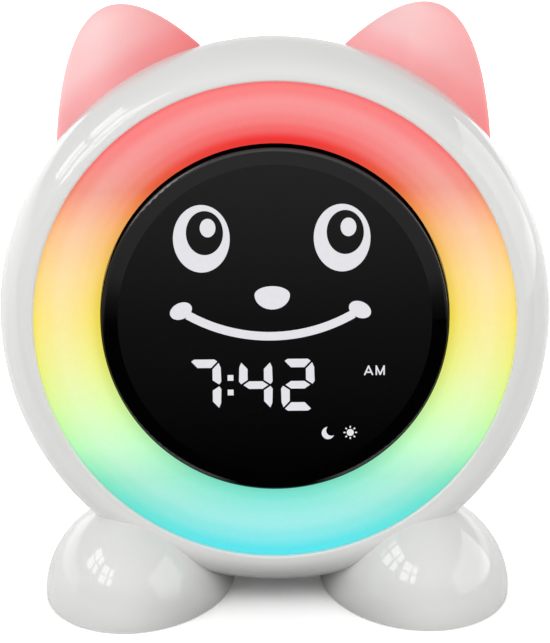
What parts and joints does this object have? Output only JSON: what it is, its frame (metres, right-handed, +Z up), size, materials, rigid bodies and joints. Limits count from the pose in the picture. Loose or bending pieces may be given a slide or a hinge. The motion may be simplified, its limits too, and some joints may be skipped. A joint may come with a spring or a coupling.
{
  "type": "kids alarm clock with night light",
  "caption": "Round bedside alarm clock on two dome feet, with a colour night-light ring, a lit face and time display, and two glowing ears.",
  "frame": {"origin": "on the surface that the clock stands on, under the middle of its bounding box", "axes": "+Z up, +X to the right of somebody facing the clock, -Y the front; the face leans back by 6.8 degrees"},
  "size_m": [0.132, 0.0748, 0.1408],
  "materials": {
    "white_shell": "high-gloss injection-moulded ABS",
    "ring_diffuser": "milky light-diffusing polycarbonate, lit from behind",
    "white_inner_plastic": "matt white reflector plastic",
    "circuit_board": "green solder mask on glass-epoxy board",
    "led": "surface-mount LED package",
    "black_panel": "piano-black gloss, moulded",
    "dark_window": "smoked translucent insert, unlit",
    "lit_window": "white translucent insert, lit from behind",
    "ear_silicone": "translucent satin silicone, lit pink from inside",
    "pad_rubber": "matt silicone",
    "chip_black": "matt moulded plastic",
    "key_plastic": "satin ABS",
    "socket_steel": "bright nickel-plated shell",
    "magnet_steel": "zinc-plated",
    "cone_paper": "pressed paper cone",
    "foam": "closed-cell foam tape",
    "battery_wrap": "plain film wrap",
    "wire_sleeve": "PVC insulation",
    "ribbon_film": "flat flexible cable",
    "screw_steel": "zinc-plated steel"
  },
  "bodies": {
    "clock": {"front_bezel": "white_shell", "rear_cover": "white_shell", "light_ring": "ring_diffuser", "light_tray": "white_inner_plastic", "ring_board": "circuit_board", "ring_leds": "led", "display_panel": "black_panel", "left_eye_window": "lit_window", "right_eye_window": "lit_window", "nose_window": "lit_window", "mouth_window": "lit_window", "lit_segments": "lit_window", "dark_segments": "dark_window", "colon_windows": "lit_window", "morning_window": "lit_window", "moon_window": "lit_window", "sun_window": "lit_window", "reflector_housing": "white_inner_plastic", "display_board": "circuit_board", "display_leds": "led", "ear_left": "ear_silicone", "ear_right": "ear_silicone", "ear_board_left": "circuit_board", "ear_board_right": "circuit_board", "ear_leds": "led", "foot_left": "white_shell", "foot_right": "white_shell", "foot_pad_left": "pad_rubber", "foot_pad_right": "pad_rubber", "main_board": "circuit_board", "board_chips": "chip_black", "tact_switches": "chip_black", "usb_socket": "socket_steel", "slide_switch_case": "chip_black", "speaker_frame": "chip_black", "speaker_magnet": "magnet_steel", "speaker_gasket": "foam", "battery_cell": "battery_wrap", "battery_foam": "foam", "battery_leads": "wire_sleeve", "speaker_leads": "wire_sleeve", "display_ribbon": "ribbon_film", "case_screws": "screw_steel", "tray_screws": "screw_steel", "board_screws": "screw_steel", "foot_screws": "screw_steel"},
    "power_slider": {"power_slider": "chip_black"},
    "speaker_cone": {"speaker_cone": "cone_paper"},
    "key_mode": {"key_mode": "key_plastic", "plunger_mode": "chip_black"},
    "key_set": {"key_set": "key_plastic", "plunger_set": "chip_black"},
    "key_alarm": {"key_alarm": "key_plastic", "plunger_alarm": "chip_black"},
    "key_light": {"key_light": "key_plastic", "plunger_light": "chip_black"},
    "key_minus": {"key_minus": "key_plastic", "plunger_minus": "chip_black"},
    "key_plus": {"key_plus": "key_plastic", "plunger_plus": "chip_black"}
  },
  "joints": [
    {"name": "key_mode_press", "type": "slide", "parent": "clock", "child": "key_mode", "axis": [0, -0.993, 0.1184], "range_m": [0, 0.0006], "stiffness_N_per_m": 400, "springref_m": -0.0004},
    {"name": "key_set_press", "type": "slide", "parent": "clock", "child": "key_set", "axis": [0, -0.993, 0.1184], "range_m": [0, 0.0006], "stiffness_N_per_m": 400, "springref_m": -0.0004},
    {"name": "key_alarm_press", "type": "slide", "parent": "clock", "child": "key_alarm", "axis": [0, -0.993, 0.1184], "range_m": [0, 0.0006], "stiffness_N_per_m": 400, "springref_m": -0.0004},
    {"name": "key_light_press", "type": "slide", "parent": "clock", "child": "key_light", "axis": [0, -0.993, 0.1184], "range_m": [0, 0.0006], "stiffness_N_per_m": 400, "springref_m": -0.0004},
    {"name": "key_minus_press", "type": "slide", "parent": "clock", "child": "key_minus", "axis": [0, -0.993, 0.1184], "range_m": [0, 0.0006], "stiffness_N_per_m": 400, "springref_m": -0.0004},
    {"name": "key_plus_press", "type": "slide", "parent": "clock", "child": "key_plus", "axis": [0, -0.993, 0.1184], "range_m": [0, 0.0006], "stiffness_N_per_m": 400, "springref_m": -0.0004},
    {"name": "power_slider_slide", "type": "slide", "parent": "clock", "child": "power_slider", "axis": [1, 0, 0], "range_m": [0, 0.002]},
    {"name": "speaker_cone_stroke", "type": "slide", "parent": "clock", "child": "speaker_cone", "axis": [0, -0.993, 0.1184], "range_m": [-0.0005, 0.0005], "stiffness_N_per_m": 600}
  ]
}
